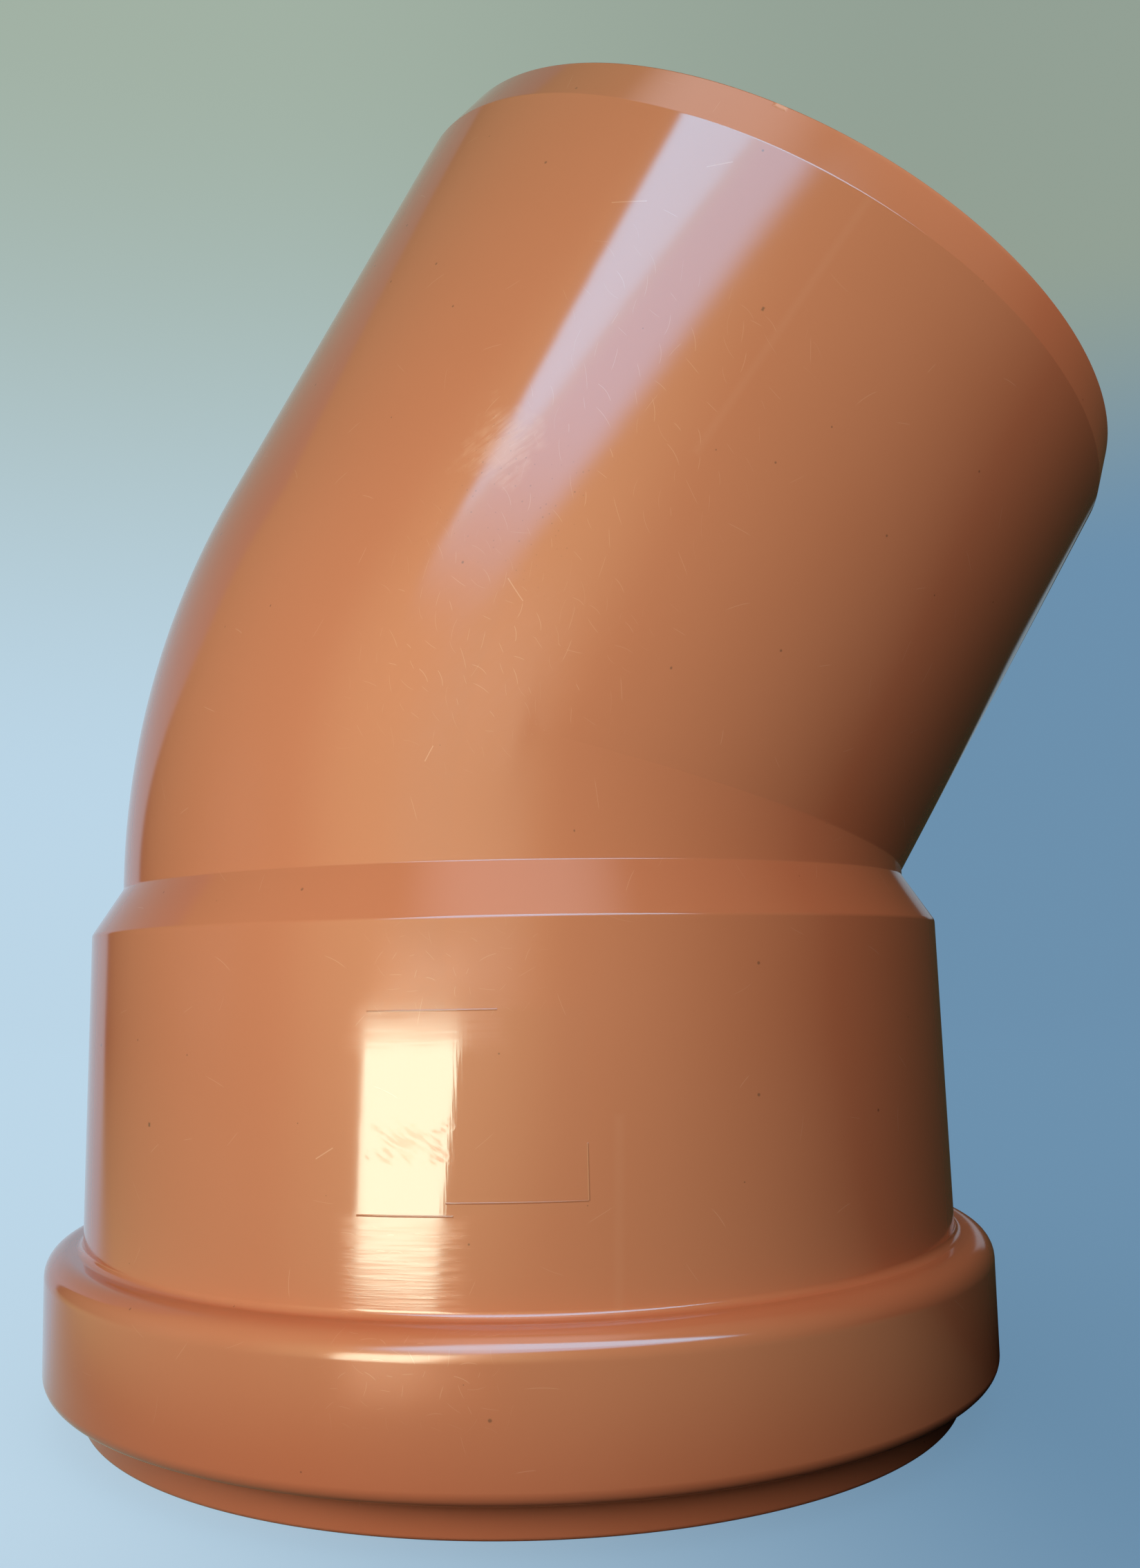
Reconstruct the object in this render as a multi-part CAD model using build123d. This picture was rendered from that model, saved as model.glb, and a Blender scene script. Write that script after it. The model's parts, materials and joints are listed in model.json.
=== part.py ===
"""Push-fit drain pipe bend, 110 mm across and turning 30 degrees, in millimetres.

The frame has its origin at the centre of the socket's mouth. +Z runs up the socket's axis, the
bend lies in the XZ plane and the spigot leans towards +X. The bend stands on its socket's mouth.
"""

import os
from math import cos, radians, sin, tan

from build123d import *

os.makedirs("parts", exist_ok=True)

# Pipe and elbow
pipe_od = 110.0
wall = 3.2
bend_angle = 30.0
throat_radius = 2.0

# Spigot, the straight end that goes into the next socket
spigot_length = 63.2
lead_length = 6.0
lead_angle = 15.0

# Socket, the end that takes the next pipe
socket_depth = 62.0
socket_clearance = 0.3
socket_wall = 3.7
socket_draft = 0.86

# Shoulder between the socket and the elbow
shoulder_height = 6.2

# Bead round the seal's groove
bead_foot = 4.7
bead_width = 16.7
bead_rise = 4.8
bead_crown = 3.0
bead_edge = 1.8
bead_web = 0.8

# Lip below the bead, round the mouth
lip_wall = 3.2
lip_set_back = 0.2
mouth_flare = 0.8
mouth_flare_height = 1.6

# Sealing ring, drawn with its lip pushed back as a pipe holds it
ring_clearance = 0.3
seal_gap = 0.7
seal_lip = 1.4
seal_slot = 1.1
seal_root = 3.0
seal_ramp = 6.0
seal_step = 0.8

# Radii and heights that follow
pipe_r = pipe_od / 2
pipe_bore_r = pipe_r - wall
bend_radius = pipe_r + throat_radius
socket_bore_r = pipe_r + socket_clearance
shoulder_r = socket_bore_r + socket_wall
bead_top = bead_foot + bead_width
socket_wall_r = shoulder_r + (socket_depth - bead_top) * tan(radians(socket_draft))
bead_r = socket_wall_r + bead_rise
lip_r = socket_wall_r - lip_set_back
mouth_r = lip_r - lip_wall
groove_r = bead_r - wall
groove_foot = bead_foot + wall
groove_top = bead_top - wall
shoulder_top = socket_depth + shoulder_height
lead_drop = lead_length * tan(radians(lead_angle))

# Where the elbow ends and the spigot begins
elbow_centre = (bend_radius, 0, shoulder_top)
turn = radians(bend_angle)
elbow_end = (bend_radius * (1 - cos(turn)), 0, shoulder_top + bend_radius * sin(turn))
spigot_out = (cos(turn), 0, -sin(turn))


def turned(plane, corners):
    """Solid of revolution about the plane's own y axis, from its section's corners.

    Each corner is a radius, a height and the rounding of that corner.
    """
    with BuildPart() as piece:
        with BuildSketch(plane):
            with BuildLine():
                FilletPolyline(
                    *[(radius, height) for radius, height, rounding in corners],
                    radius=[rounding for radius, height, rounding in corners],
                    close=True,
                )
            make_face()
        revolve(axis=Axis(plane.origin, plane.y_dir))
    return piece.part


def make_socket():
    """Mouth lip, bead, socket wall and shoulder outside; pipe bore, stop, seat and groove inside."""
    outside = [
        (lip_r, 0, 0),
        (lip_r, bead_foot, 0),
        (bead_r, bead_foot, bead_edge),
        (bead_r, bead_top, bead_crown),
        (socket_wall_r + bead_web, bead_top, 0),
        (socket_wall_r, bead_top + bead_web, 0),
        (shoulder_r, socket_depth, 0),
        (pipe_r, shoulder_top, 0),
    ]
    inside = [
        (pipe_bore_r, shoulder_top, 0),
        (pipe_bore_r, socket_depth, 0),
        (socket_bore_r, socket_depth, 0),
        (socket_bore_r, groove_top, 0),
        (groove_r, groove_top, 0),
        (groove_r, groove_foot, 0),
        (mouth_r, groove_foot, 0),
        (mouth_r, mouth_flare_height, 0),
        (mouth_r + mouth_flare, 0, 0),
    ]
    return turned(Plane.XZ, outside + inside)


def make_elbow():
    """Pipe wall swept round the bend, from the shoulder to the spigot."""
    with BuildPart() as piece:
        with BuildSketch(Plane((0, 0, shoulder_top))):
            Circle(pipe_r)
            Circle(pipe_bore_r, mode=Mode.SUBTRACT)
        revolve(axis=Axis(elbow_centre, (0, 1, 0)), revolution_arc=bend_angle)
    return piece.part


def make_spigot():
    """Straight pipe wall with the chamfered lead-in at its tip."""
    section = Plane(origin=elbow_end, x_dir=spigot_out, z_dir=(0, -1, 0))
    return turned(
        section,
        [
            (pipe_bore_r, 0, 0),
            (pipe_r, 0, 0),
            (pipe_r, spigot_length - lead_length, 0),
            (pipe_r - lead_drop, spigot_length, 0),
            (pipe_bore_r, spigot_length, 0),
        ],
    )


def make_sealing_ring():
    """Anchoring body in the groove and the folded lip that bears on the pipe."""
    outer_r = groove_r - ring_clearance
    foot = groove_foot + ring_clearance
    top = groove_top - ring_clearance
    lip_inner_r = socket_bore_r + seal_gap
    lip_outer_r = lip_inner_r + seal_lip
    body_inner_r = lip_outer_r + seal_slot
    lip_tip = top - seal_step
    return turned(
        Plane.XZ,
        [
            (outer_r, foot, 0),
            (outer_r, top, 0),
            (body_inner_r, top, 0),
            (body_inner_r, foot + seal_root, 0),
            (lip_outer_r, foot + seal_root, 0),
            (lip_outer_r, lip_tip, 0),
            (lip_inner_r, lip_tip, 0),
            (lip_inner_r, foot + seal_ramp, 0),
            (mouth_r, foot, 0),
        ],
    )


bend_body = make_socket() + make_elbow() + make_spigot()
sealing_ring = make_sealing_ring()

pieces = {"bend_body": bend_body, "sealing_ring": sealing_ring}
for name, piece in pieces.items():
    export_step(piece, f"parts/{name}.step")
    print(name, "solids", len(piece.solids()), "volume", round(piece.volume))
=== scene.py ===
"""A push-fit drain pipe bend and its sealing ring, dressed and stood on its socket in a plain studio."""

import json
from math import acos, atan2, ceil, cos, pi, radians, sin, tan

import bpy
from bpy.props import FloatProperty, FloatVectorProperty, IntProperty, PointerProperty
from mathutils import Matrix, Vector


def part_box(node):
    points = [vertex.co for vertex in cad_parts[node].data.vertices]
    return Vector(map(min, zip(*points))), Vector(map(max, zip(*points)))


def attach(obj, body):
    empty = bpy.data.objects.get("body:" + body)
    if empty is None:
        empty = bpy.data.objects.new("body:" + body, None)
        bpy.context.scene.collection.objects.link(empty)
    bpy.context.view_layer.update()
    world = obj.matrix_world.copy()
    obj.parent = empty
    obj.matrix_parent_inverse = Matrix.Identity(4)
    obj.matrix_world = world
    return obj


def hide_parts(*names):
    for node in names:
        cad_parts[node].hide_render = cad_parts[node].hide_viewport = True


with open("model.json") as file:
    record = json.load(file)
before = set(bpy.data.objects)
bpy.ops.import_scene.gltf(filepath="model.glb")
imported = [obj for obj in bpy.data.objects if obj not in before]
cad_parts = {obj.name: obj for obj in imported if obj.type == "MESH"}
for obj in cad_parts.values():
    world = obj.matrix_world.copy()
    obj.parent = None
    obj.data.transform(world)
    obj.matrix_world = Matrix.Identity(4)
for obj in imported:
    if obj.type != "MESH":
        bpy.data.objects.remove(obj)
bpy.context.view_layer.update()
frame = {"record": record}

bl_info = {
    "name": "Drain Pipe Bend",
    "version": (1, 0, 0),
    "blender": (4, 5, 0),
    "location": "View3D > Sidebar > Pipe Bend",
    "description": "Makes a push-fit drain pipe bend, its sealing ring and a plain studio round them",
    "category": "Object",
}

MM = 0.001
ARC_STEP = radians(11)
FLOAT, VECTOR = "NodeSocketFloat", "NodeSocketVector"

# What the frame says of the bend
mounts = {mount["name"]: mount for mount in frame["record"]["mounts"]}
socket_bore = mounts["socket"]
spigot_pin = mounts["spigot"]
spigot_axis = Vector(spigot_pin["axis"])
frame_turn = acos(spigot_axis.z)
spigot_start = Vector(spigot_pin["pos_m"]) - spigot_axis * spigot_pin["dims"]["length_mm"] * MM / 2
frame_bend_r = spigot_start.x / (1 - cos(frame_turn))
frame_shoulder_top = spigot_start.z - frame_bend_r * sin(frame_turn)
body_low, body_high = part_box("bend_body")
ring_low, ring_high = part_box("sealing_ring")


def a_length(label, about, default):
    """Setting that is a length in metres."""
    return FloatProperty(name=label, description=about, default=default, unit="LENGTH")


def an_angle(label, about, default):
    """Setting that is an angle in radians."""
    return FloatProperty(name=label, description=about, default=default, subtype="ANGLE", unit="ROTATION")


def a_colour(label, about, default):
    """Setting that is a colour."""
    limits = {"size": 3, "min": 0, "max": 1}
    return FloatVectorProperty(name=label, description=about, default=default, subtype="COLOR", **limits)


class BendSizes(bpy.types.PropertyGroup):
    """Sizes of the moulded bend."""

    pipe_r: a_length(
        "Pipe Radius", "Outside radius of the elbow and the spigot", spigot_pin["dims"]["r_mm"] * MM,
    )
    wall: a_length("Wall", "Wall of the elbow, the spigot and the bead", 3.2 * MM)
    turn: an_angle("Turn", "Angle through which the elbow turns", frame_turn)
    bend_r: a_length("Bend Radius", "Radius of the elbow's centreline", frame_bend_r)
    throat_rounding: a_length(
        "Throat Rounding", "Small rounding of the mitre at the elbow's throat", 0.4 * MM,
    )
    spigot_plain: a_length(
        "Spigot", "Straight length of the spigot up to its lead-in", spigot_pin["dims"]["length_mm"] * MM,
    )
    lead_length: a_length("Lead-in", "Length of the chamfered lead-in at the spigot's tip", 6.0 * MM)
    lead_angle: an_angle("Lead-in Angle", "Angle of the lead-in to the spigot's axis", radians(15))
    socket_bore_r: a_length("Socket Bore", "Inside radius of the socket", socket_bore["dims"]["r_mm"] * MM)
    socket_wall: a_length("Socket Wall", "Wall of the socket at its shoulder", 3.7 * MM)
    socket_draft: an_angle("Socket Draft", "Angle at which the socket widens to its bead", radians(0.86))
    stop_height: a_length(
        "Stop", "Height of the stop that a pushed-in pipe meets",
        socket_bore["pos_m"][2] + socket_bore["dims"]["length_mm"] * MM / 2,
    )
    shoulder_top: a_length(
        "Shoulder Top", "Height at which the shoulder ends and the elbow starts", frame_shoulder_top,
    )
    bead_r: a_length("Bead Radius", "Outside radius of the bead round the seal's groove", body_high.y)
    bead_foot: a_length("Bead Foot", "Height of the bead's underside above the mouth", 4.7 * MM)
    bead_width: a_length("Bead Width", "Width of the bead along the socket's axis", 16.7 * MM)
    lip_set_back: a_length("Lip Set Back", "How far the lip lies inside the socket's wall", 0.2 * MM)
    flare: a_length("Mouth Flare", "How much the mouth widens at its edge", 0.8 * MM)
    flare_height: a_length("Flare Height", "Height of the mouth's flare", 1.6 * MM)
    round_segments: IntProperty(
        name="Segments Round", description="Faces round the pipe", default=256, min=24,
    )
    bend_stations: IntProperty(
        name="Stations", description="Faces along the elbow", default=24, min=4,
    )


class SealSizes(bpy.types.PropertyGroup):
    """Sizes of the rubber sealing ring."""

    outer_r: a_length("Outer Radius", "Outside radius of the ring's anchoring body", ring_high.y)
    foot: a_length("Foot", "Height of the ring's underside", ring_low.z)
    top: a_length("Top", "Height of the ring's upper face", ring_high.z)
    lip_gap: a_length("Lip Gap", "Gap between the pushed-back lip and the bore's line", 0.7 * MM)
    lip_wall: a_length("Lip", "Thickness of the folded lip", 1.4 * MM)
    slot: a_length("Slot", "Gap between the lip and the body", 1.1 * MM)
    root: a_length("Root", "Height of the solid root below the slot", 3.0 * MM)
    ramp: a_length("Ramp", "Height of the ramp that leads a pipe in", 6.0 * MM)
    step: a_length("Step", "How far the lip's tip ends below the body's top", 0.8 * MM)


class Finishes(bpy.types.PropertyGroup):
    """Colours of the bend, the ring and the studio."""

    pvc: a_colour("PVC", "Orange-brown of the moulding", (0.45, 0.128, 0.052))
    # The scuffed colour also gives the painted highlight along the seams
    pvc_scuffed_and_sheen: a_colour(
        "Scuffed PVC", "Paler colour where the moulding is rubbed or scratched", (0.66, 0.34, 0.21),
    )
    rubber: a_colour("Rubber", "Black of the sealing ring", (0.02, 0.02, 0.02))
    backdrop_low: a_colour(
        "Backdrop Low", "Colour of the floor and of the backdrop near it", (0.50, 0.67, 0.80),
    )
    backdrop_high: a_colour("Backdrop High", "Colour of the backdrop higher up", (0.36, 0.44, 0.37))
    # The two deeper colours below make the floor and the backdrop deeper on the right: a painted shadow of
    # the bend
    shade_low: a_colour(
        "Shade Low", "Deeper colour of the floor and the backdrop on the right", (0.15, 0.28, 0.42),
    )
    shade_high: a_colour(
        "Shade High", "Deeper colour of the backdrop higher up on the right", (0.29, 0.355, 0.30),
    )
    room: a_colour(
        "Room", "Colour of the room in front of the bend, seen only in reflections", (1.0, 1.0, 0.52),
    )


def add(tree, kind, inputs=None, **settings):
    """Adds a node to a tree, sets its options, then links or sets its inputs."""
    node = tree.nodes.new(kind)
    for option, value in settings.items():
        setattr(node, option, value)
    for socket, value in (inputs or {}).items():
        if isinstance(value, bpy.types.NodeSocket):
            tree.links.new(value, node.inputs[socket])
        else:
            node.inputs[socket].default_value = value
    return node


def calc(tree, operation, *values, clamp=False):
    """Result of one sum on numbers or sockets."""
    numbers = dict(enumerate(values))
    return add(tree, "ShaderNodeMath", numbers, operation=operation, use_clamp=clamp).outputs[0]


def times(tree, first, second):
    """Two numbers multiplied."""
    return calc(tree, "MULTIPLY", first, second)


def minus(tree, first, second):
    """The second number taken from the first."""
    return calc(tree, "SUBTRACT", first, second)


def vector_calc(tree, operation, *values):
    """Result of one sum on vectors."""
    return add(tree, "ShaderNodeVectorMath", dict(enumerate(values)), operation=operation).outputs[0]


def parts(tree, vector):
    """The three parts of a vector."""
    return add(tree, "ShaderNodeSeparateXYZ", {0: vector}).outputs


def dot(tree, first, second):
    """Dot product of two vectors."""
    return add(tree, "ShaderNodeVectorMath", {0: first, 1: second}, operation="DOT_PRODUCT").outputs["Value"]


def fade(tree, value, low, high, bottom=0.0, top=1.0):
    """Smooth step of a value between two limits, from bottom to top."""
    inputs = {0: value, 1: low, 2: high, 3: bottom, 4: top}
    return add(tree, "ShaderNodeMapRange", inputs, interpolation_type="SMOOTHSTEP").outputs[0]


def mix_number(tree, share, first, second):
    """Two numbers mixed by a share."""
    return add(tree, "ShaderNodeMix", {0: share, 2: first, 3: second}, data_type="FLOAT").outputs[0]


def opaque(colour):
    """A colour with its alpha; a socket is handed on as it is."""
    return colour if isinstance(colour, bpy.types.NodeSocket) else (*colour, 1.0)


def mix_colour(tree, share, first, second):
    """Two colours mixed by a share."""
    inputs = {0: share, 6: opaque(first), 7: opaque(second)}
    return add(tree, "ShaderNodeMix", inputs, data_type="RGBA").outputs[2]


def noise(tree, place, scale, detail, **settings):
    """Random clouds of a given fineness over a place."""
    inputs = {"Vector": place, "Scale": scale, "Detail": detail}
    return add(tree, "ShaderNodeTexNoise", inputs, **settings).outputs[0]


def new_group(name, kind, inputs, outputs):
    """Empty node group with named inputs and outputs; returns it with its inner sockets."""
    tree = bpy.data.node_groups.new(name, kind)
    for label, socket_type, default in inputs:
        socket = tree.interface.new_socket(label, in_out="INPUT", socket_type=socket_type)
        if default is not None:
            socket.default_value = default
    for label, socket_type in outputs:
        tree.interface.new_socket(label, in_out="OUTPUT", socket_type=socket_type)
    return tree, tree.nodes.new("NodeGroupInput").outputs, tree.nodes.new("NodeGroupOutput").inputs


def place_group(tree, name, inputs):
    """Places a shared node group in a material and returns its outputs."""
    return list(add(tree, "ShaderNodeGroup", inputs, node_tree=shared_group(name)).outputs)


def rounded_outline(corners):
    """Points of a closed outline of (radius, height, rounding) corners, with an arc at each corner."""
    points = []
    for here, (radius, height, rounding) in enumerate(corners):
        corner = Vector((radius, height))
        before = (Vector(corners[here - 1][:2]) - corner).normalized()
        after = (Vector(corners[(here + 1) % len(corners)][:2]) - corner).normalized()
        half = acos(max(-1.0, min(1.0, before.dot(after)))) / 2
        middle = corner + (before + after).normalized() * rounding / sin(half)
        spoke = corner + before * rounding / tan(half) - middle
        sweep = pi - 2 * half
        if before.x * after.y - before.y * after.x < 0:
            sweep = -sweep
        steps = max(2, ceil(abs(sweep) / ARC_STEP))
        points += [middle + Matrix.Rotation(-sweep * step / steps, 2) @ spoke for step in range(steps + 1)]
    return points


def with_stations(points, heights):
    """The same closed outline with more points where its straight runs cross the given heights."""
    fuller = []
    for here, point in enumerate(points):
        fuller.append(point)
        following = points[(here + 1) % len(points)]
        low, high = sorted((point.y, following.y))
        crossed = [height for height in heights if low + 0.2 * MM < height < high - 0.2 * MM]
        if following.y < point.y:
            crossed.reverse()
        fuller += [point.lerp(following, (height - point.y) / (following.y - point.y)) for height in crossed]
    return fuller


def socket_wall_radius(sizes):
    """Outside radius of the drafted socket's wall where it meets the bead."""
    drafted = sizes.stop_height - sizes.bead_foot - sizes.bead_width
    return sizes.socket_bore_r + sizes.socket_wall + drafted * tan(sizes.socket_draft)


def bend_outline(sizes):
    """Section of the straightened bend: height is measured along its centreline from the mouth."""
    bead_top = sizes.bead_foot + sizes.bead_width
    shoulder_r = sizes.socket_bore_r + sizes.socket_wall
    socket_wall_r = socket_wall_radius(sizes)
    lip_r = socket_wall_r - sizes.lip_set_back
    mouth_r = lip_r - sizes.wall
    bore_r = sizes.pipe_r - sizes.wall
    groove_r = sizes.bead_r - sizes.wall
    lead_start = sizes.shoulder_top + sizes.bend_r * sizes.turn + sizes.spigot_plain
    tip = lead_start + sizes.lead_length
    tip_r = sizes.pipe_r - sizes.lead_length * tan(sizes.lead_angle)
    outside = [
        (lip_r, 0, 0.5 * MM),
        (lip_r, sizes.bead_foot, 0.6 * MM),
        (sizes.bead_r, sizes.bead_foot, 1.8 * MM),
        (sizes.bead_r, bead_top, 3.0 * MM),
        (socket_wall_r, bead_top, 0.9 * MM),
        (shoulder_r, sizes.stop_height, 0.9 * MM),
        (sizes.pipe_r, sizes.shoulder_top, 0.4 * MM),
        (sizes.pipe_r, lead_start, 0.8 * MM),
        (tip_r, tip, 0.35 * MM),
    ]
    inside = [
        (bore_r, tip, 0.35 * MM),
        (bore_r, sizes.stop_height, 0.5 * MM),
        (sizes.socket_bore_r, sizes.stop_height, 0.6 * MM),
        (sizes.socket_bore_r, bead_top - sizes.wall, 0.3 * MM),
        (groove_r, bead_top - sizes.wall, 0.5 * MM),
        (groove_r, sizes.bead_foot + sizes.wall, 0.5 * MM),
        (mouth_r, sizes.bead_foot + sizes.wall, 0.3 * MM),
        (mouth_r, sizes.flare_height, 0.4 * MM),
        (mouth_r + sizes.flare, 0, 0.3 * MM),
    ]
    elbow = sizes.bend_r * sizes.turn
    stations = [
        sizes.shoulder_top + elbow * (station + 0.5) / sizes.bend_stations
        for station in range(sizes.bend_stations)
    ]
    stations += [sizes.shoulder_top, sizes.shoulder_top + elbow]
    return with_stations(rounded_outline(outside + inside), sorted(stations))


def seal_outline(sizes, bend):
    """Section of the sealing ring: anchoring body, root, and the folded lip that bears on a pipe."""
    lip_inner = bend.socket_bore_r + sizes.lip_gap
    lip_outer = lip_inner + sizes.lip_wall
    body_inner = lip_outer + sizes.slot
    lip_tip = sizes.top - sizes.step
    mouth_r = socket_wall_radius(bend) - bend.lip_set_back - bend.wall
    corners = [
        (sizes.outer_r, sizes.foot, 0.6 * MM),
        (sizes.outer_r, sizes.top, 0.6 * MM),
        (body_inner, sizes.top, 0.6 * MM),
        (body_inner, sizes.foot + sizes.root, 0.5 * MM),
        (lip_outer, sizes.foot + sizes.root, 0.5 * MM),
        (lip_outer, lip_tip, 0.5 * MM),
        (lip_inner, lip_tip, 0.5 * MM),
        (lip_inner, sizes.foot + sizes.ramp, 1.5 * MM),
        (mouth_r, sizes.foot, 0.3 * MM),
    ]
    return rounded_outline(corners)


def bent_revolve_tree():
    """Geometry nodes that revolve a section about Z and bend what lies above a height round an elbow.

    Each line along the pipe turns by the whole angle. At the heel it is swept about the bend's
    centre, and at the throat it runs straight to the mitre and turns there on a small rounding.
    """
    settings = {
        "Carrier Radius": 0.05, "Bend Start": 0.07, "Bend Radius": 0.057, "Turn": 0.0,
        "Throat Rounding": 0.0005, "Throat Blend": 0.006, "Rounding Share": 0.4,
    }
    inputs = [("Section", "NodeSocketGeometry", None), ("Segments", "NodeSocketInt", 256)]
    inputs += [(label, FLOAT, default) for label, default in settings.items()]
    inputs.append(("Material", "NodeSocketMaterial", None))
    outputs = [("Geometry", "NodeSocketGeometry")]
    tree, given, result = new_group("bent_revolve", "GeometryNodeTree", inputs, outputs)
    profile = add(tree, "GeometryNodeMeshToCurve", {"Mesh": given["Section"]}).outputs["Curve"]
    circle = add(
        tree, "GeometryNodeCurvePrimitiveCircle",
        {"Resolution": given["Segments"], "Radius": given["Carrier Radius"]},
    ).outputs["Curve"]
    ring = add(tree, "GeometryNodeCurveToMesh", {"Curve": circle, "Profile Curve": profile}).outputs["Mesh"]
    straight = add(tree, "GeometryNodeInputPosition").outputs[0]
    marked = add(
        tree, "GeometryNodeStoreNamedAttribute",
        {"Geometry": ring, "Name": "unbent", "Value": straight},
        data_type="FLOAT_VECTOR", domain="POINT",
    ).outputs["Geometry"]

    across, aside, height = parts(tree, straight)
    half_tangent = calc(tree, "TANGENT", calc(tree, "DIVIDE", given["Turn"], 2.0))
    elbow = times(tree, given["Bend Radius"], given["Turn"])
    above = minus(tree, height, given["Bend Start"])
    share = calc(tree, "DIVIDE", above, elbow, clamp=True)
    past = calc(tree, "MAXIMUM", minus(tree, above, elbow), 0.0)
    below = calc(tree, "MINIMUM", height, given["Bend Start"])

    swept_r = minus(tree, given["Bend Radius"], across)
    tight = fade(tree, across, 0.0, given["Throat Blend"])
    rounding = mix_number(tree, tight, swept_r, given["Throat Rounding"])
    rounding_share = mix_number(tree, tight, 1.0, given["Rounding Share"])
    run = times(tree, minus(tree, swept_r, rounding), half_tangent)
    run_share = calc(tree, "DIVIDE", minus(tree, 1.0, rounding_share), 2.0)
    into_turn = minus(tree, share, run_share)
    out_of_turn = minus(tree, into_turn, rounding_share)
    before = times(tree, run, calc(tree, "DIVIDE", share, run_share, clamp=True))
    angle = times(tree, given["Turn"], calc(tree, "DIVIDE", into_turn, rounding_share, clamp=True))
    after = times(tree, run, calc(tree, "DIVIDE", out_of_turn, run_share, clamp=True))
    beyond = calc(tree, "ADD", after, past)
    sine = calc(tree, "SINE", angle)
    cosine = calc(tree, "COSINE", angle)
    shift = times(tree, rounding, minus(tree, 1.0, cosine))
    shift = calc(tree, "MULTIPLY_ADD", beyond, sine, shift)
    rise = calc(tree, "MULTIPLY_ADD", rounding, sine, calc(tree, "ADD", below, before))
    rise = calc(tree, "MULTIPLY_ADD", beyond, cosine, rise)
    across = calc(tree, "ADD", across, shift)
    bent = add(tree, "ShaderNodeCombineXYZ", {0: across, 1: aside, 2: rise}).outputs[0]

    moved = add(tree, "GeometryNodeSetPosition", {"Geometry": marked, "Position": bent}).outputs["Geometry"]
    smooth = add(tree, "GeometryNodeSetShadeSmooth", {"Geometry": moved}).outputs["Geometry"]
    real = add(tree, "GeometryNodeRealizeInstances", {"Geometry": smooth}).outputs["Geometry"]
    dressed = add(
        tree, "GeometryNodeSetMaterial", {"Geometry": real, "Material": given["Material"]},
    ).outputs["Geometry"]
    tree.links.new(dressed, result["Geometry"])
    return tree


def new_object(name, data):
    """Object in the scene that holds a mesh, a lamp or a camera."""
    obj = bpy.data.objects.new(name, data)
    bpy.context.scene.collection.objects.link(obj)
    return obj


def revolved(name, outline, tree, settings):
    """Mesh object made by the bent revolve from an outline of (radius, height) points."""
    carrier = settings["Carrier Radius"]
    section = bpy.data.meshes.new(name + "_section")
    count = len(outline)
    section.from_pydata(
        [(point.x - carrier, -point.y, 0) for point in outline],
        [(here, (here + 1) % count) for here in range(count)],
        [],
    )
    piece = new_object(name, section)
    sweep = piece.modifiers.new("revolve", "NODES")
    sweep.node_group = tree
    identifiers = {
        item.name: item.identifier for item in tree.interface.items_tree if item.in_out == "INPUT"
    }
    for label, value in settings.items():
        sweep[identifiers[label]] = value
    weighted = piece.modifiers.new("even_normals", "WEIGHTED_NORMAL")
    weighted.weight = 100
    evaluated = piece.evaluated_get(bpy.context.evaluated_depsgraph_get())
    mesh = bpy.data.meshes.new_from_object(evaluated)
    mesh.name = name
    piece.modifiers.clear()
    piece.data = mesh
    bpy.data.meshes.remove(section)
    return piece


def revolve_settings(sizes, turn, material):
    """Settings of the bent revolve for one piece."""
    return {
        "Segments": sizes.round_segments,
        "Carrier Radius": sizes.pipe_r,
        "Bend Start": sizes.shoulder_top,
        "Bend Radius": sizes.bend_r,
        "Turn": turn,
        "Material": material,
    }


def surface_map_group():
    """Turns a straightened position in metres into millimetres round the pipe and along it."""
    tree, given, result = new_group(
        "surface_map", "ShaderNodeTree",
        [("Vector", VECTOR, None), ("Mean Radius", FLOAT, 57.0)],
        [("Around", FLOAT), ("Along", FLOAT), ("Flat", VECTOR)],
    )
    across, aside, along = parts(tree, given["Vector"])
    angle = calc(tree, "ARCTAN2", across, times(tree, aside, -1.0))
    around = times(tree, angle, given["Mean Radius"])
    along = calc(tree, "DIVIDE", along, MM)
    tree.links.new(around, result["Around"])
    tree.links.new(along, result["Along"])
    tree.links.new(add(tree, "ShaderNodeCombineXYZ", {0: around, 1: along}).outputs[0], result["Flat"])
    return tree


def mark_group(name, settings):
    """Empty group that makes a mask of a place on the surface, in millimetres, and some numbers."""
    inputs = [("Around", FLOAT, None), ("Along", FLOAT, None)]
    inputs += [(label, FLOAT, default) for label, default in settings.items()]
    return new_group(name, "ShaderNodeTree", inputs, [("Mask", FLOAT)])


def turned_place(tree, around, along, angle):
    """The same place measured along and across a direction."""
    sine = calc(tree, "SINE", angle)
    cosine = calc(tree, "COSINE", angle)
    lengthwise = calc(tree, "MULTIPLY_ADD", around, cosine, times(tree, along, sine))
    return lengthwise, minus(tree, times(tree, along, cosine), times(tree, around, sine))


def random_cell(tree, given):
    """Place within a cell of a staggered grid, and three random numbers of that cell."""
    along = calc(tree, "ADD", calc(tree, "DIVIDE", given["Along"], given["Cell"]), given["Offset"])
    row = calc(tree, "FLOOR", along)
    stagger = add(tree, "ShaderNodeTexWhiteNoise", {"W": row}, noise_dimensions="1D").outputs["Value"]
    around = calc(tree, "ADD", calc(tree, "DIVIDE", given["Around"], given["Cell"]), stagger)
    column = calc(tree, "FLOOR", around)
    number = calc(tree, "MULTIPLY_ADD", row, 0.137, column)
    dice = add(tree, "ShaderNodeTexWhiteNoise", {"W": number}, noise_dimensions="1D").outputs["Color"]
    chance = add(tree, "ShaderNodeSeparateColor", {0: dice}).outputs
    around = minus(tree, minus(tree, around, column), 0.5)
    along = minus(tree, minus(tree, along, row), 0.5)
    return around, along, chance


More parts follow.
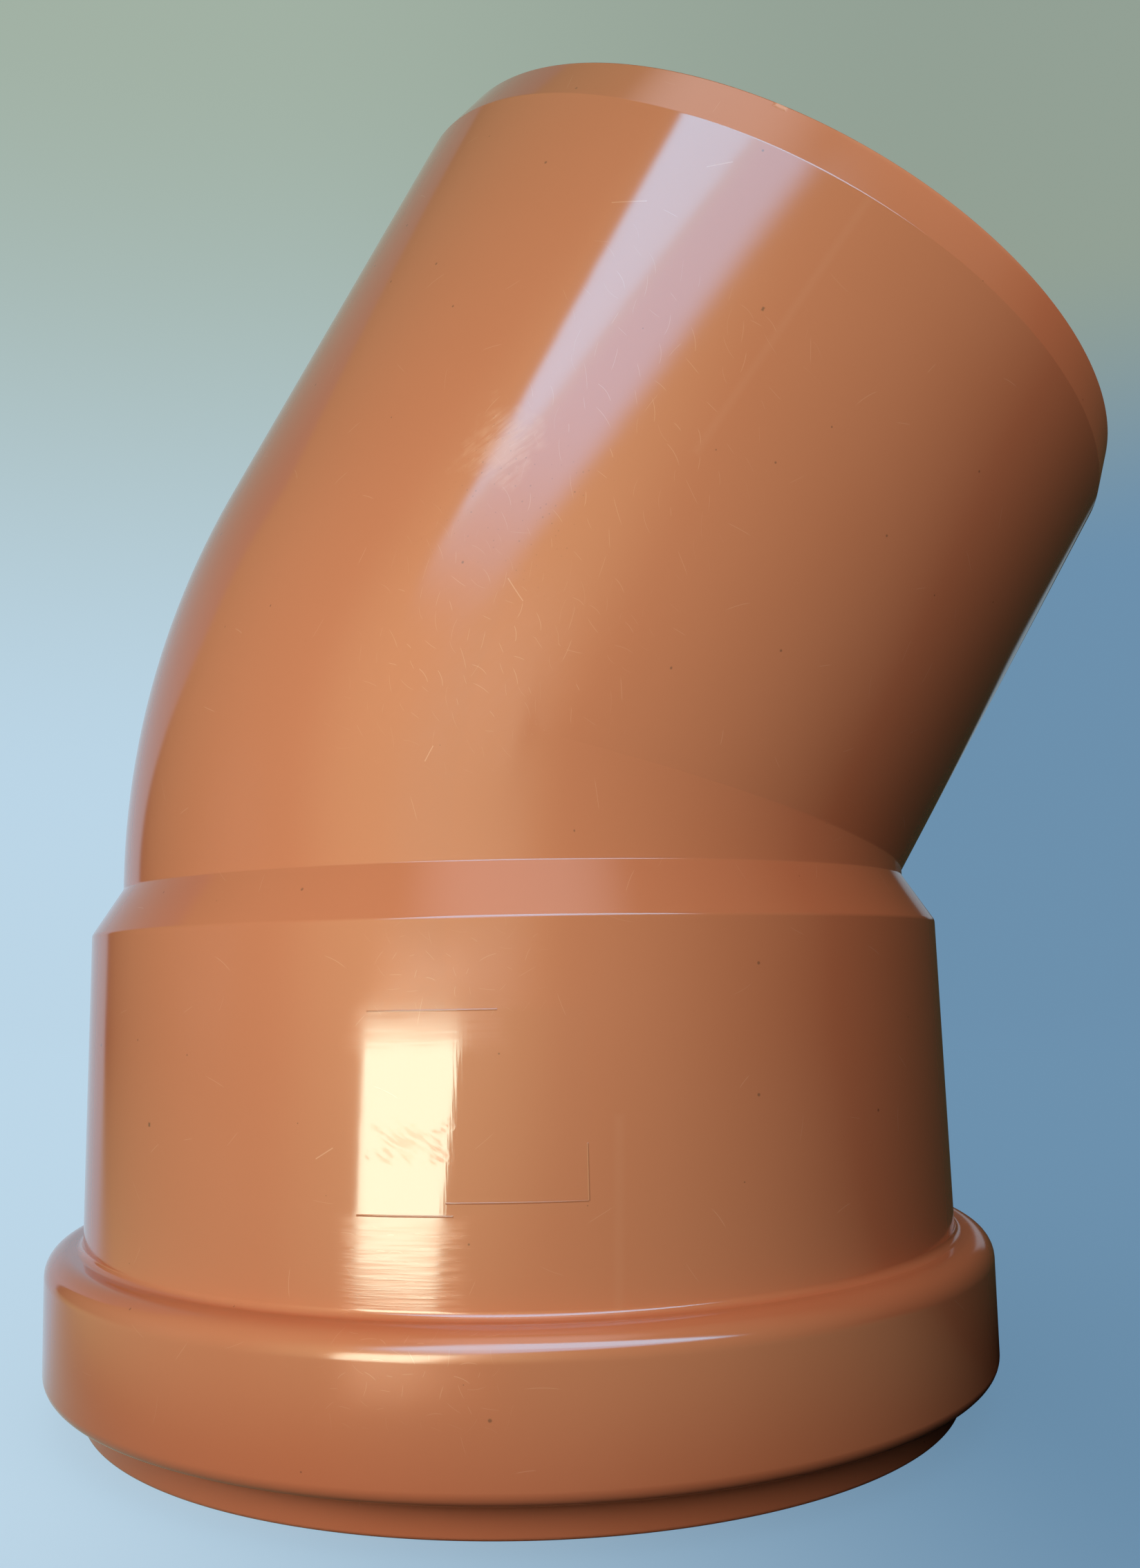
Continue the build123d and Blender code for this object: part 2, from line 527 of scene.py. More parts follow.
def scratches_group():
    """Fine scratches, at most one in each random cell, straight or slightly bowed."""
    settings = {
        "Cell": 6.0, "Offset": 0.0, "Width": 0.01, "Length": 0.4, "Share": 0.4,
        "Direction": 0.0, "Spread": pi,
    }
    tree, given, result = mark_group("hair_scratches", settings)
    around, along, chance = random_cell(tree, given)
    swing = minus(tree, chance[0], 0.5)
    angle = calc(tree, "MULTIPLY_ADD", swing, given["Spread"], given["Direction"])
    lengthwise, crosswise = turned_place(tree, around, along, angle)
    bow = minus(tree, chance[1], 0.5)
    crosswise = calc(tree, "MULTIPLY_ADD", times(tree, lengthwise, lengthwise), bow, crosswise)
    crosswise = calc(tree, "MULTIPLY_ADD", bow, 0.6, crosswise)
    width = times(tree, given["Width"], calc(tree, "ADD", chance[1], 0.5))
    line = fade(tree, calc(tree, "ABSOLUTE", crosswise), width, 0.0)
    length = times(tree, given["Length"], calc(tree, "ADD", chance[2], 0.3))
    ends = fade(tree, calc(tree, "ABSOLUTE", lengthwise), length, times(tree, length, 0.5))
    present = calc(tree, "LESS_THAN", chance[2], given["Share"])
    mask = times(tree, times(tree, line, ends), present)
    tree.links.new(mask, result["Mask"])
    return tree


def specks_group():
    """Small round specks, at most one in each random cell."""
    settings = {"Cell": 9.0, "Offset": 0.0, "Size": 0.02, "Share": 0.3}
    tree, given, result = mark_group("pin_specks", settings)
    around, along, chance = random_cell(tree, given)
    around = calc(tree, "MULTIPLY_ADD", minus(tree, chance[1], 0.5), 0.8, around)
    along = calc(tree, "MULTIPLY_ADD", minus(tree, chance[0], 0.5), 0.8, along)
    squared = calc(tree, "MULTIPLY_ADD", around, around, times(tree, along, along))
    size = times(tree, given["Size"], calc(tree, "ADD", chance[1], 0.4))
    spot = fade(tree, calc(tree, "SQRT", squared), size, times(tree, size, 0.4))
    present = calc(tree, "LESS_THAN", chance[2], given["Share"])
    tree.links.new(times(tree, spot, present), result["Mask"])
    return tree


def patch_group():
    """Soft-edged rectangle on the flattened surface, with a ragged border."""
    settings = {
        "Centre Around": 0.0, "Centre Along": 0.0, "Half Width": 5.0, "Half Height": 5.0,
        "Softness": 1.0, "Raggedness": 0.0, "Unevenness": 0.5,
    }
    tree, given, result = mark_group("soft_patch", settings)
    sideways = calc(tree, "ABSOLUTE", minus(tree, given["Around"], given["Centre Around"]))
    sideways = minus(tree, sideways, given["Half Width"])
    upwards = calc(tree, "ABSOLUTE", minus(tree, given["Along"], given["Centre Along"]))
    upwards = minus(tree, upwards, given["Half Height"])
    uneven = minus(tree, given["Unevenness"], 0.5)
    outside = calc(tree, "MAXIMUM", sideways, upwards)
    ragged = calc(tree, "MULTIPLY_ADD", uneven, given["Raggedness"], outside)
    mask = fade(tree, ragged, given["Softness"], times(tree, given["Softness"], -1.0))
    tree.links.new(mask, result["Mask"])
    return tree


def line_group():
    """Thin straight line of a given length and direction on the flattened surface."""
    settings = {"Start Around": 0.0, "Start Along": 0.0, "Direction": 0.0, "Length": 1.0, "Width": 0.1}
    tree, given, result = mark_group("thin_line", settings)
    around = minus(tree, given["Around"], given["Start Around"])
    along = minus(tree, given["Along"], given["Start Along"])
    lengthwise, crosswise = turned_place(tree, around, along, given["Direction"])
    nearest = calc(tree, "MAXIMUM", calc(tree, "MINIMUM", lengthwise, given["Length"]), 0.0)
    beside = calc(tree, "ABSOLUTE", crosswise)
    past_end = calc(tree, "ABSOLUTE", minus(tree, lengthwise, nearest))
    distance = calc(tree, "MAXIMUM", beside, past_end)
    tree.links.new(fade(tree, distance, given["Width"], 0.0), result["Mask"])
    return tree


def grain_group():
    """Fine uneven grain that runs one way over the flattened surface, as brushing leaves it."""
    tree, given, result = new_group(
        "one_way_grain", "ShaderNodeTree",
        [
            ("Flat", VECTOR, None),
            ("Grain Size", VECTOR, (8.0, 0.3, 1.0)),
            ("Lean", VECTOR, (0.0, 0.0, 0.0)),
        ],
        [("Grain", FLOAT)],
    )
    turned = {"Vector": given["Flat"], "Rotation": given["Lean"], "Scale": given["Grain Size"]}
    stretched = add(tree, "ShaderNodeMapping", turned, vector_type="TEXTURE").outputs[0]
    tree.links.new(noise(tree, stretched, 1.0, 2.0, noise_dimensions="2D"), result["Grain"])
    return tree


def shared_group(name):
    """A node group that the materials share, built when the first of them asks for it."""
    makers = {
        "surface_map": surface_map_group,
        "hair_scratches": scratches_group,
        "pin_specks": specks_group,
        "soft_patch": patch_group,
        "thin_line": line_group,
        "one_way_grain": grain_group,
    }
    return bpy.data.node_groups.get(name) or makers[name]()


# Fine grains of the PVC's rubbed zones: the grain's size in mm each way, and its lean
PVC_GRAINS = (
    ("sideways", (8.0, 0.3, 1.0), 0.0),
    ("upwards", (0.25, 7.0, 1.0), 0.0),
    ("slanted", (2.0, 0.45, 1.0), -0.6),
    ("swirled", (0.6, 4.0, 1.0), -0.5),
)

# Zones of the PVC's surface, from the broadest to the smallest: centre and half size, the border's
# softness and raggedness, roughness, fine grain and that grain's depth, how much is rubbed between
# the grain's strokes, how much paler it is, and its scratches' cell, direction and spread
PVC_ZONES = (
    ((-2.0, 119.0), (11.0, 17.0), 8.0, 8.0, 0.11, "swirled", 0.0, 1.0, 0.0, (3.1, -0.8, 1.2)),
    ((-4.0, 90.0), (13.0, 9.0), 6.0, 10.0, 0.15, "swirled", 0.0, 0.6, 0.02, (2.2, -0.7, 1.6)),
    ((-14.6, 111.0), (3.2, 3.4), 1.8, 5.0, 0.16, "swirled", 0.0, 0.3, 0.3, (1.1, 1.2, 0.9)),
    ((-3.5, 56.5), (7.5, 3.0), 4.0, 4.0, 0.19, "swirled", 0.0, 0.9, 0.0, (1.9, 0.0, 3.14)),
    ((-7.0, 17.2), (7.0, 3.4), 3.6, 2.0, 0.24, "swirled", 0.0, 0.9, 0.0, (1.6, 0.0, 3.14)),
    ((-9.2, 26.6), (6.4, 4.6), 1.2, 1.5, 0.2, "sideways", 0.006, 0.3, 0.05, (1.5, 0.0, 0.25)),
    ((-1.65, 42.1), (11.1, 10.3), 0.2, 0.0, 0.06, "upwards", 0.003, 1.0, 0.0, None),
    ((-6.6, 50.6), (8.0, 2.2), 1.3, 2.0, 0.17, "sideways", 0.0, 0.5, 0.04, None),
    ((-8.4, 39.0), (3.4, 1.5), 0.7, 6.0, 0.24, "slanted", 0.01, 0.2, 0.0, None),
)

# Lines on the PVC's surface: the insert's edges, shallow grooves with a painted shadow in them, then seams
# with a painted highlight along them, then scratches and short gouges
PVC_LINES = (
    # The insert's edges: the dark colour in each groove is a painted shadow
    dict(
        ends=(((-12.6, 52.4), (0.6, 52.4)), ((-13.7, 31.6), (-4.0, 31.6)), ((-4.6, 32.9), (9.3, 32.9)),
              ((9.4, 33.0), (9.4, 38.6))),
        width=0.13, height=-0.03, paler=0.0, painted_groove_shade=0.3,
    ),
    # Seams: the pale line along each is a painted highlight where the faint step would catch the light
    dict(
        ends=(((12.6, 40.9), (12.0, 21.8)), ((9.1, 154.7), (5.9, 120.2))),
        width=0.9, height=0.0, paler=0.05, painted_groove_shade=0.0,
    ),
    dict(
        ends=(((-17.9, 142.3), (-14.0, 143.7)), ((-9.4, 150.0), (-7.0, 151.6)),
              ((-18.2, 37.2), (-16.4, 38.3)), ((-8.2, 77.9), (-7.6, 79.4)), ((-5.9, 97.6), (-3.2, 96.2))),
        width=0.1, height=0.0, paler=0.5, painted_groove_shade=0.0,
    ),
)

# Dark specks of the PVC, each by its centre and its half size
SPECKS = (((4.6, 137.8), (0.14, 0.22)), ((-42.5, 39.6), (0.2, 0.22)))

# Plain values of the materials
# The speck colour serves real specks and pits, and the painted shadow in the insert's grooves
SPECK_AND_SHADE_COLOUR = (0.09, 0.03, 0.015)
PVC_IOR = 1.53
RUBBER_GREY = (0.04, 0.04, 0.042)
DUST_COLOUR = (0.25, 0.24, 0.22)


def emptied_tree(owner):
    """Node tree of a material or a world, with nothing in it."""
    owner.use_nodes = True
    owner.node_tree.nodes.clear()
    return owner.node_tree


def new_material(name):
    """Material with its tree, and its Principled shader linked to its output."""
    material = bpy.data.materials.new(name)
    tree = emptied_tree(material)
    shader = tree.nodes.new("ShaderNodeBsdfPrincipled")
    output = tree.nodes.new("ShaderNodeOutputMaterial")
    tree.links.new(shader.outputs[0], output.inputs[0])
    return material, tree, shader


def pvc_material(finishes):
    """Glossy moulded PVC: the mould's insert and seams, rubbed zones, fine scratches and specks, with a
    painted shadow in the insert's grooves and a painted highlight along the seams.

    Places on the surface are in millimetres round the pipe from its front and along it from the mouth.
    The marks are added one after another, because a shader can hold only so many values at once.
    """
    material, tree, shader = new_material("orange_brown_pvc")
    stored = add(tree, "ShaderNodeAttribute", attribute_name="unbent", attribute_type="GEOMETRY")
    unbent = stored.outputs["Vector"]
    around, along, flat = place_group(tree, "surface_map", {"Vector": unbent})
    place = {"Around": around, "Along": along}
    tint = noise(tree, unbent, 30.0, 2.0)
    ripple = noise(tree, unbent, 260.0, 1.0)
    wave = noise(tree, unbent, 45.0, 0.0)
    uneven = noise(tree, flat, 0.5, 2.0)
    grains = {}
    for name, size, lean in PVC_GRAINS:
        inputs = {"Flat": flat, "Grain Size": size, "Lean": (0.0, 0.0, lean)}
        grains[name] = place_group(tree, "one_way_grain", inputs)[0]
    paleness = times(tree, tint, 0.12)
    roughness = fade(tree, tint, 0.3, 0.7, 0.085, 0.11)
    height = calc(tree, "MULTIPLY_ADD", wave, 0.08, times(tree, ripple, 0.005))

    def patch(centre, half_size, softness, raggedness=0.0):
        inputs = {
            "Centre Around": centre[0], "Centre Along": centre[1],
            "Half Width": half_size[0], "Half Height": half_size[1],
            "Softness": softness, "Raggedness": raggedness, "Unevenness": uneven,
        }
        return place_group(tree, "soft_patch", {**place, **inputs})[0]

    for centre, half_size, softness, raggedness, rough, grain, depth, cover, paler, scratches in PVC_ZONES:
        mask = patch(centre, half_size, softness, raggedness)
        if depth:
            height = calc(tree, "MULTIPLY_ADD", times(tree, mask, grains[grain]), depth, height)
        rubbed = times(tree, mask, fade(tree, grains[grain], 0.35, 0.6, cover, 1.0))
        roughness = mix_number(tree, rubbed, roughness, rough)
        paleness = calc(tree, "MULTIPLY_ADD", rubbed, paler, paleness)
        if scratches:
            cell, direction, spread = scratches
            inputs = {
                "Cell": cell, "Offset": cell, "Width": 0.04 / cell, "Length": 0.6, "Share": 0.8,
                "Direction": direction, "Spread": spread,
            }
            strokes = place_group(tree, "hair_scratches", {**place, **inputs})[0]
            paleness = calc(tree, "MULTIPLY_ADD", times(tree, strokes, mask), 0.4, paleness)

    inputs = {**place, "Cell": 7.0, "Width": 0.006, "Share": 0.35}
    scattered = place_group(tree, "hair_scratches", inputs)[0]
    paleness = calc(tree, "MULTIPLY_ADD", scattered, 0.3, paleness)

    specks = place_group(tree, "pin_specks", {**place, "Size": 0.02, "Share": 0.25})[0]
    # Darkening toward the speck colour: real specks and pits, and the painted shadow in the insert's grooves
    darkening = times(tree, specks, 0.6)
    for kind in PVC_LINES:
        mark = 0.0
        for start, end in kind["ends"]:
            way = Vector(end) - Vector(start)
            line = {
                "Start Around": start[0], "Start Along": start[1],
                "Direction": atan2(way.y, way.x), "Length": way.length, "Width": kind["width"],
            }
            mark = calc(tree, "MAXIMUM", place_group(tree, "thin_line", {**place, **line})[0], mark)
        if kind["height"]:
            height = calc(tree, "MULTIPLY_ADD", mark, kind["height"], height)
        # Paleness from real scratches and gouges, and the painted highlight along the seams
        paleness = calc(tree, "MULTIPLY_ADD", mark, kind["paler"], paleness)
        # A painted shadow along the insert's grooves
        darkening = calc(tree, "MULTIPLY_ADD", mark, kind["painted_groove_shade"], darkening)

    pits = place_group(tree, "pin_specks", {**place, "Cell": 1.1, "Size": 0.1, "Share": 0.35})[0]
    pits = times(tree, pits, patch((-10.0, 106.0), (7.0, 7.0), 3.0, 6.0))
    darkening = calc(tree, "MULTIPLY_ADD", pits, 0.35, darkening)
    for centre, half_size in SPECKS:
        darkening = calc(tree, "MULTIPLY_ADD", patch(centre, half_size, 0.1), 0.7, darkening)

    nick = patch((-5.7, 160.9), (0.8, 0.35), 0.25, 0.8)
    height = calc(tree, "MULTIPLY_ADD", nick, 0.05, height)
    paleness = calc(tree, "MULTIPLY_ADD", nick, 0.5, paleness)
    rim = patch((0.0, 162.0), (200.0, 1.2), 0.4)
    rim_wear = times(tree, rim, fade(tree, tint, 0.45, 0.6))
    paleness = calc(tree, "MULTIPLY_ADD", rim_wear, 0.2, paleness)

    colour = mix_colour(tree, paleness, finishes.pvc, finishes.pvc_scuffed_and_sheen)
    colour = mix_colour(tree, darkening, colour, SPECK_AND_SHADE_COLOUR)
    bumped = add(tree, "ShaderNodeBump", {"Height": height, "Distance": MM, "Strength": 1.0}).outputs[0]
    tree.links.new(colour, shader.inputs["Base Color"])
    tree.links.new(roughness, shader.inputs["Roughness"])
    tree.links.new(bumped, shader.inputs["Normal"])
    shader.inputs["IOR"].default_value = PVC_IOR
    return material


def rubber_material(finishes):
    """Black rubber with a dull, faintly mottled skin."""
    material, tree, shader = new_material("black_rubber")
    place = add(tree, "ShaderNodeTexCoord").outputs["Object"]
    around, along, flat = place_group(tree, "surface_map", {"Vector": place})
    mottle = noise(tree, place, 400.0, 4.0)
    inputs = {"Around": around, "Along": along, "Cell": 3.0, "Size": 0.04, "Share": 0.4}
    dust = place_group(tree, "pin_specks", inputs)[0]
    grain = place_group(tree, "one_way_grain", {"Flat": flat, "Grain Size": (3.0, 0.2, 1.0)})[0]
    colour = mix_colour(tree, times(tree, mottle, 0.5), finishes.rubber, RUBBER_GREY)
    colour = mix_colour(tree, times(tree, dust, 0.4), colour, DUST_COLOUR)
    height = calc(tree, "MULTIPLY_ADD", grain, 0.01, times(tree, mottle, 0.02))
    bump = add(tree, "ShaderNodeBump", {"Height": height, "Distance": MM}).outputs[0]
    tree.links.new(colour, shader.inputs["Base Color"])
    tree.links.new(fade(tree, mottle, 0.3, 0.7, 0.42, 0.6), shader.inputs["Roughness"])
    tree.links.new(bump, shader.inputs["Normal"])
    return material


def backdrop_colour(tree, finishes, rightness, rise):
    """Pale blue low down and green-grey above, a little deeper to the right as a painted shadow of the bend.
    """
    pale = mix_colour(tree, fade(tree, rise, 0.1, 0.6), finishes.backdrop_low, finishes.backdrop_high)
    deep = mix_colour(tree, fade(tree, rise, 0.25, 0.45), finishes.shade_low, finishes.shade_high)
    return mix_colour(tree, rightness, pale, deep)


def in_mirror_band(tree, across, inward, rise):
    """Where the bend mirrors a bright backdrop: behind it, round to its left and a patch on the right."""
    forward = fade(tree, rise, 0.08, 0.45, 0.0, 0.34)
    forward = minus(tree, forward, fade(tree, rise, 0.62, 0.78, 0.0, 0.45))
    left_edge = calc(tree, "MULTIPLY_ADD", across, 0.87, calc(tree, "ADD", inward, forward))
    left = times(tree, fade(tree, left_edge, -0.03, 0.03), fade(tree, across, 0.0, -0.08))
    steepness = calc(tree, "MULTIPLY_ADD", across, -0.5, rise)
    right = times(tree, fade(tree, inward, 0.83, 0.87), fade(tree, across, 0.2, 0.26))
    right = times(tree, right, fade(tree, steepness, 0.02, -0.02, 0.0, 0.5))
    return calc(tree, "MULTIPLY_ADD", right, fade(tree, rise, 0.06, 0.1), left, clamp=True)


def beyond(tree, way, edge, soft):
    """1 for the ways on one side of a plane through the bend, with a soft change across it."""
    return fade(tree, dot(tree, way, edge), -soft, soft)


# The mirrored window: planes through the bend that bound it, and its panes' brightness
WINDOW_LEFT = (0.657, -0.684, -0.317)
WINDOW_RIGHT = (-0.255, 0.438, 0.862)
WINDOW_FOOT = (0.555, 0.222, 0.802)
WINDOW_BAR = (0.064, -0.598, -0.799)
LEFT_PANE = (3.5, 8.4, 11.6)
RIGHT_PANE = (2.8, 5.7, 8.0)

# Other directions and brightnesses that the bend mirrors
ROOM_WAY = (-0.366, -0.907, 0.208)
OVERHEAD_WAY = (0.031, -0.357, 0.934)
OVERHEAD_BRIGHTNESS = (1.6, 1.6, 1.8)
BLACK = (0.0, 0.0, 0.0)


def window_light(tree, way):
    """Colour and share of the tall two-paned window that the bend's gloss mirrors."""
    left = beyond(tree, way, WINDOW_LEFT, 0.018)
    right = beyond(tree, way, WINDOW_RIGHT, 0.05)
    foot = beyond(tree, way, WINDOW_FOOT, 0.13)
    head = fade(tree, parts(tree, way)[1], -0.48, -0.56)
    pane = beyond(tree, way, WINDOW_BAR, 0.012)
    colour = mix_colour(tree, pane, LEFT_PANE, RIGHT_PANE)
    beside_bar = calc(tree, "ABSOLUTE", calc(tree, "ADD", dot(tree, way, WINDOW_BAR), 0.012))
    share = times(tree, left, right)
    share = times(tree, share, times(tree, foot, head))
    share = times(tree, share, fade(tree, beside_bar, 0.004, 0.018, 0.55, 1.0))
    return colour, share


def room_glow(tree, way):
    """Brightness of the room in front of the bend, as its gloss sees it: brightest towards the lamps."""
    facing = dot(tree, way, ROOM_WAY)
    broad = calc(tree, "MAXIMUM", calc(tree, "MULTIPLY_ADD", facing, 1.2, 0.45), 0.03)
    glow = calc(tree, "ADD", broad, fade(tree, facing, 0.75, 1.0, 0.0, 1.15))
    rise = parts(tree, way)[2]
    return times(tree, glow, fade(tree, rise, -0.6, -0.3))


def floor_material(finishes):
    """Plain matt floor that fades into the background away from the bend."""
    material, tree, shader = new_material("studio_floor")
    place = add(tree, "ShaderNodeTexCoord").outputs["Object"]
    distance = add(tree, "ShaderNodeVectorMath", {0: place}, operation="LENGTH").outputs["Value"]
    across, inward, rise = parts(tree, place)
    path = add(tree, "ShaderNodeLightPath").outputs
    # Deeper to the right: a painted shadow of the bend on the floor
    plain = backdrop_colour(tree, finishes, fade(tree, across, -0.06, 0.07), 0.0)
    band = in_mirror_band(tree, across, calc(tree, "ADD", inward, 0.09), rise)
    mirrored_band = times(tree, path["Is Glossy Ray"], band)
    lit_share = 0.17
    glow_share = 0.84
    shown = mix_number(tree, path["Is Glossy Ray"], lit_share, times(tree, band, lit_share))
    shown = mix_number(tree, path["Is Diffuse Ray"], shown, 0.2)
    colour = mix_colour(tree, shown, BLACK, plain)
    way = vector_calc(tree, "NORMALIZE", vector_calc(tree, "SUBTRACT", place, (0.0, 0.0, 0.05)))
    in_front = times(tree, room_glow(tree, way), minus(tree, 1.0, band))
    as_seen = calc(tree, "ADD", path["Is Camera Ray"], mirrored_band, clamp=True)
    glow = mix_colour(tree, as_seen, finishes.room, plain)
    strength = times(tree, path["Is Glossy Ray"], in_front)
    strength = mix_number(tree, as_seen, strength, glow_share)
    tree.links.new(colour, shader.inputs["Base Color"])
    tree.links.new(glow, shader.inputs["Emission Color"])
    tree.links.new(strength, shader.inputs["Emission Strength"])
    tree.links.new(fade(tree, distance, 1.6, 0.5), shader.inputs["Alpha"])
    shader.inputs["Roughness"].default_value = 1.0
    shader.inputs["Specular IOR Level"].default_value = 0.0
    return material


def studio_world(finishes):
    """Background that the camera and reflections see as plain and pale, and that lights only gently."""
    world = bpy.data.worlds.new("plain_studio")
    tree = emptied_tree(world)
    way = add(tree, "ShaderNodeTexCoord").outputs["Generated"]
    across, inward, rise = parts(tree, way)
    path = add(tree, "ShaderNodeLightPath").outputs
    # Deeper to the right: a painted shadow of the bend on the backdrop
    plain = backdrop_colour(tree, finishes, fade(tree, across, -0.2, 0.25), rise)
    pale = backdrop_colour(tree, finishes, 0.0, rise)
    room = {0: finishes.room, "Scale": room_glow(tree, way)}
    warm = add(tree, "ShaderNodeVectorMath", room, operation="SCALE").outputs[0]
    overhead = fade(tree, dot(tree, way, OVERHEAD_WAY), 0.92, 1.0)
    overhead = mix_colour(tree, overhead, BLACK, OVERHEAD_BRIGHTNESS)
    warm = vector_calc(tree, "ADD", warm, overhead)
    mirrored = mix_colour(tree, in_mirror_band(tree, across, inward, rise), warm, pale)
    panes, share = window_light(tree, way)
    mirrored = mix_colour(tree, share, mirrored, panes)
    colour = mix_colour(tree, path["Is Glossy Ray"], plain, mirrored)
    seen = calc(tree, "ADD", path["Is Camera Ray"], path["Is Glossy Ray"])
    seen = calc(tree, "ADD", seen, path["Is Transmission Ray"], clamp=True)
    strength = mix_number(tree, seen, 0.03, 1.0)
    background = add(tree, "ShaderNodeBackground", {"Color": colour, "Strength": strength})
    output = tree.nodes.new("ShaderNodeOutputWorld")
    tree.links.new(background.outputs[0], output.inputs[0])
    bpy.context.scene.world = world


# Soft lamps: name, azimuth and elevation in degrees, distance and radius in metres, and power
LAMPS = (
    ("key_lamp", -9, 3.5, 0.206, 0.06, 1.04),
    ("upper_lamp", 58, 45, 0.176, 0.05, 0.43),
    ("side_lamp", -80, 5, 1.2, 0.25, 27.0),
    ("back_lamp", 170, 30, 1.2, 0.25, 25.0),
)

# Bright card, its corners in millimetres
CARD_CORNERS = ((-92, -160, 1), (-39, -160, 1), (-22, -160, 50), (-85, -160, 50))
CARD_BRIGHTNESS = (16.0, 18.4, 13.6)


def place_lamp(data, place, turn):
    """Hangs a lamp at a place, turned by angles in degrees, where the camera doesn't see it."""
    obj = new_object(data.name, data)
    obj.location = place
    obj.rotation_euler = [radians(angle) for angle in turn]
    obj.visible_camera = False
    return obj


def reflector_card(corners, colour):
    """Bright card near the bend that only its gloss mirrors, given by its four corners in millimetres."""
    material = bpy.data.materials.new("reflector_card")
    tree = emptied_tree(material)
    glow = add(tree, "ShaderNodeEmission", {"Color": opaque(colour), "Strength": 1.0})
    output = tree.nodes.new("ShaderNodeOutputMaterial")
    tree.links.new(glow.outputs[0], output.inputs[0])
    mesh = bpy.data.meshes.new("reflector_card")
    mesh.from_pydata([Vector(corner) * MM for corner in corners], [], [(0, 1, 2, 3)])
    card = new_object("reflector_card", mesh)
    card.data.materials.append(material)
    for rays in ("camera", "diffuse", "transmission", "volume_scatter", "shadow"):
        setattr(card, "visible_" + rays, False)


def soft_lamp(name, azimuth, elevation, distance, radius, power, floor):
    """Round soft lamp near the bend that leaves out the floor; azimuth 0 is the photograph's side."""
    aim_height = 0.08
    level = distance * cos(radians(elevation))
    place = (
        level * sin(radians(azimuth)),
        -level * cos(radians(azimuth)),
        aim_height + distance * sin(radians(elevation)),
    )
    data = bpy.data.lights.new(name, "POINT")
    data.energy = power
    data.shadow_soft_size = radius
    obj = place_lamp(data, place, (0, 0, 0))
    obj.visible_glossy = False
    left_out = bpy.data.collections.new(name + "_leaves_out")
    left_out.objects.link(floor)
    left_out.collection_objects[0].light_linking.link_state = "EXCLUDE"
    obj.light_linking.receiver_collection = left_out


def floor_sun(floor):
    """Soft light from the upper left for the floor alone, at which its colour shows as written."""
    slant = 25
    data = bpy.data.lights.new("floor_sun", "SUN")
    data.angle = radians(130)
    data.energy = pi / cos(radians(slant))
    obj = place_lamp(data, (-0.5, -0.5, 1.0), (slant, 0, -50))
    lit = bpy.data.collections.new("floor_sun_lights")
    lit.objects.link(floor)
    obj.light_linking.receiver_collection = lit


def photo_camera():
    """Camera at the photograph's place, with its field of view and its off-centre framing."""
    frame_height = 2268
    focal = 1999.798
    off_centre = (-65.702, 60.858)
    data = bpy.data.cameras.new("photo_camera")
    data.sensor_fit = "AUTO"
    data.sensor_width = 36.0
    data.lens = focal / frame_height * data.sensor_width
    data.shift_x = -off_centre[0] / frame_height
    data.shift_y = off_centre[1] / frame_height
    data.clip_start = 0.01
    obj = new_object("photo_camera", data)
    obj.location = (9.080 * MM, -202.628 * MM, 56.426 * MM)
    obj.rotation_euler = (radians(95.9231), radians(1.0917), radians(2.1784))
    bpy.context.scene.camera = obj


def studio_floor(finishes):
    """Round floor at the level of the socket's mouth."""
    radius, segments = 1.8, 96
    mesh = bpy.data.meshes.new("studio_floor")
    rim = [
        (radius * cos(2 * pi * step / segments), radius * sin(2 * pi * step / segments), 0.0)
        for step in range(segments)
    ]
    mesh.from_pydata(rim, [], [list(range(segments))])
    floor = new_object("studio_floor", mesh)
    floor.data.materials.append(floor_material(finishes))
    return floor


class PIPEBEND_OT_make_bend(bpy.types.Operator):
    """Revolve the section, bend it round the elbow and dress it as moulded PVC"""

    bl_idname = "pipe_bend.make_bend"
    bl_label = "Make Bend"
    bl_options = {"REGISTER", "UNDO"}

    def execute(self, context):
        sizes = context.scene.bend_sizes
        settings = revolve_settings(sizes, sizes.turn, pvc_material(context.scene.finishes))
        settings["Throat Rounding"] = sizes.throat_rounding
        piece = revolved("pvc_bend", bend_outline(sizes), bent_revolve_tree(), settings)
        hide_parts("bend_body")
        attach(piece, "root")
        return {"FINISHED"}


class PIPEBEND_OT_make_seal(bpy.types.Operator):
    """Revolve the sealing ring's section and dress it as black rubber"""

    bl_idname = "pipe_bend.make_seal"
    bl_label = "Make Sealing Ring"
    bl_options = {"REGISTER", "UNDO"}

    def execute(self, context):
        bend = context.scene.bend_sizes
        settings = revolve_settings(bend, 0.0, rubber_material(context.scene.finishes))
        outline = seal_outline(context.scene.seal_sizes, bend)
        piece = revolved("rubber_seal", outline, bent_revolve_tree(), settings)
        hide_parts("sealing_ring")
        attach(piece, "root")
        return {"FINISHED"}


